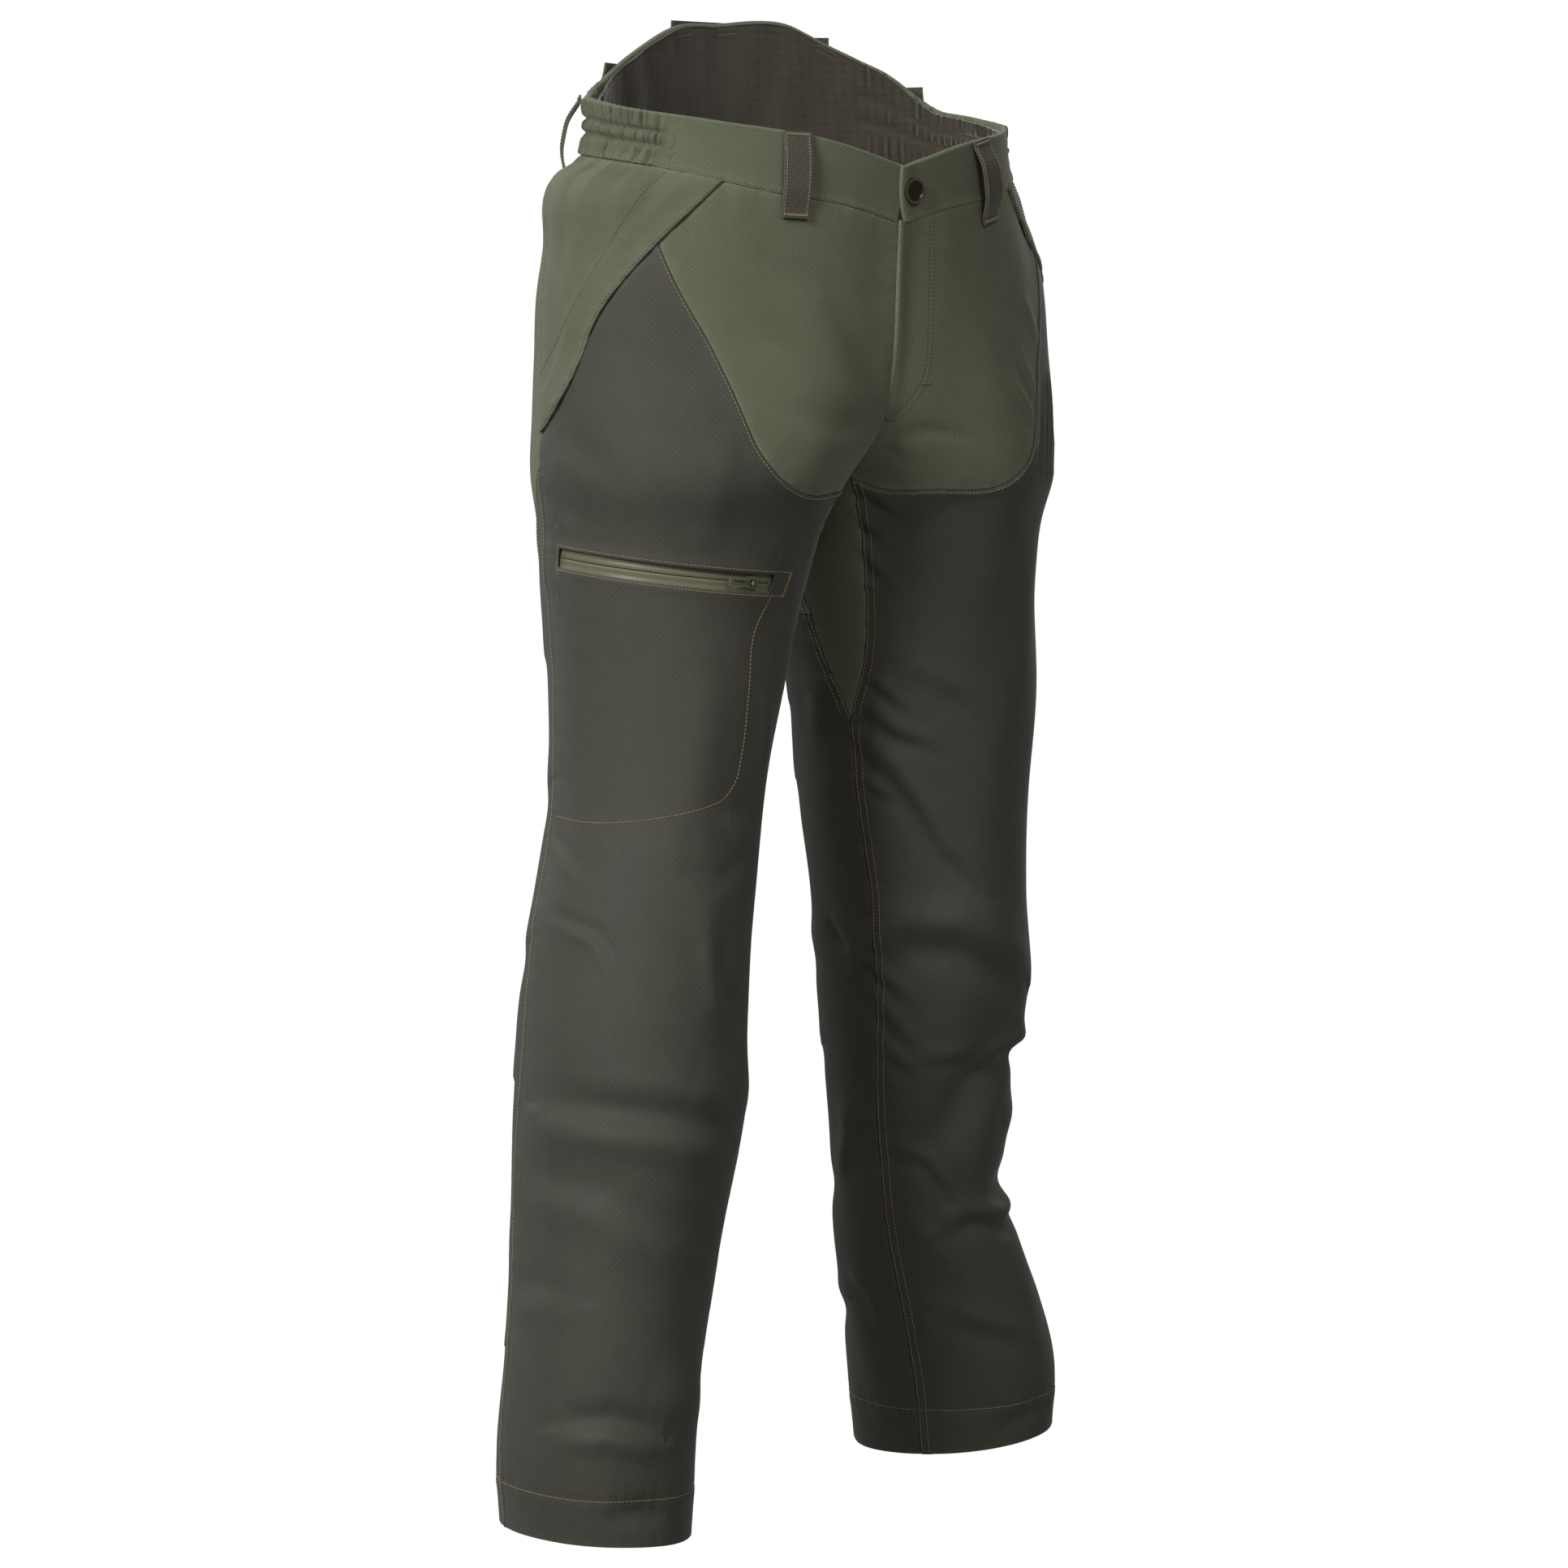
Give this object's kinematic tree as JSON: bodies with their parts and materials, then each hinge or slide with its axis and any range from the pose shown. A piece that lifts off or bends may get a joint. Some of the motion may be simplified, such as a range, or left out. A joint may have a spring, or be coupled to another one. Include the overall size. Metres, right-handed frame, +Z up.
{
  "type": "forestry trousers",
  "caption": "Two-tone outdoor work trousers with a raised back, belt loops, button-and-zip fly, slanted hand pockets and a zipped thigh pocket.",
  "frame": {"origin": "middle of the waist opening, level with the top of the fly, one metre above the hems", "axes": "+Z up the body, -Y the way the wearer faces, +X the wearer's left"},
  "size_m": [0.5607, 0.2701, 1.1226],
  "materials": {
    "green_cloth": "matt woven softshell",
    "dark_cloth": "matt coated canvas",
    "loop_cloth": "matt canvas strap",
    "fleece": "brushed fleece",
    "lining_cloth": "thin smooth lining",
    "elastic": "ribbed elastic",
    "zip_tape": "coated tape",
    "zip_teeth": "satin",
    "zip_metal": "satin enamel",
    "button_metal": "dark antique",
    "label": "woven label"
  },
  "bodies": {
    "trousers": {"front_hip_panel_right": "green_cloth", "side_hip_panel_right": "green_cloth", "pocket_band_right": "green_cloth", "seat_panel_right": "green_cloth", "waistband_front_right": "green_cloth", "waistband_elastic_right": "green_cloth", "front_leg_panel_right": "dark_cloth", "back_leg_panel_right": "dark_cloth", "hem_band_right": "dark_cloth", "belt_loop_front_right": "loop_cloth", "belt_loop_side_right": "loop_cloth", "belt_loop_back_right": "loop_cloth", "elastic_webbing_right": "elastic", "waistband_lining_right": "fleece", "upper_lining_right": "lining_cloth", "hand_pocket_bag_right": "lining_cloth", "fly_zip_tape_right": "zip_tape", "fly_zip_teeth_right": "zip_teeth", "front_hip_panel_left": "green_cloth", "side_hip_panel_left": "green_cloth", "pocket_band_left": "green_cloth", "seat_panel_left": "green_cloth", "waistband_front_left": "green_cloth", "waistband_elastic_left": "green_cloth", "front_leg_panel_left": "dark_cloth", "back_leg_panel_left": "dark_cloth", "hem_band_left": "dark_cloth", "belt_loop_front_left": "loop_cloth", "belt_loop_side_left": "loop_cloth", "belt_loop_back_left": "loop_cloth", "elastic_webbing_left": "elastic", "waistband_lining_left": "fleece", "upper_lining_left": "lining_cloth", "hand_pocket_bag_left": "lining_cloth", "fly_zip_tape_left": "zip_tape", "fly_zip_teeth_left": "zip_teeth", "front_thigh_panel_right": "dark_cloth", "thigh_zip_end_cloth": "dark_cloth", "crotch_gusset": "green_cloth", "waistband_back": "green_cloth", "belt_loop_centre_back": "loop_cloth", "inner_label": "label", "waistband_underlap": "green_cloth", "fly_facing": "green_cloth", "fly_shield": "green_cloth", "thigh_pocket_bag": "lining_cloth", "thigh_zip_tape_upper": "zip_tape", "thigh_zip_teeth_upper": "zip_teeth", "thigh_zip_tape_lower": "zip_tape", "thigh_zip_teeth_lower": "zip_teeth", "fly_zip_bottom_stop": "zip_metal", "fly_zip_top_stops": "zip_metal", "thigh_zip_stops": "zip_metal", "button_tack": "button_metal"},
    "thigh_slider": {"thigh_zip_slider": "zip_metal"},
    "thigh_pull": {"thigh_zip_pull": "zip_metal"},
    "fly_slider": {"fly_zip_slider": "zip_metal"},
    "fly_pull": {"fly_zip_pull": "zip_metal"},
    "button": {"button_cap": "button_metal"}
  },
  "joints": [
    {"name": "thigh_zip_slide", "type": "hinge", "parent": "trousers", "child": "thigh_slider", "pos_m": [-0.1106, 0.0135, -0.2896], "axis": [-0.0743, 0.0923, -0.993], "range_deg": [-6, 89]},
    {"name": "thigh_zip_pull_swing", "type": "hinge", "parent": "thigh_slider", "child": "thigh_pull", "pos_m": [-0.11745, -0.08698, -0.29843], "axis": [0.0743, -0.0923, 0.993], "range_deg": [0, 150]},
    {"name": "fly_zip_slide", "type": "slide", "parent": "trousers", "child": "fly_slider", "axis": [0, -0.075, 0.9972], "range_m": [-0.1, 0]},
    {"name": "fly_zip_pull_swing", "type": "hinge", "parent": "fly_slider", "child": "fly_pull", "pos_m": [0.012, -0.10801, -0.04968], "axis": [-1, 0, 0], "range_deg": [0, 4]},
    {"name": "button_swivel", "type": "hinge", "parent": "trousers", "child": "button", "pos_m": [0.00844, -0.11607, -0.01202], "axis": [0.0286, -0.9967, -0.0753], "continuous": true}
  ]
}
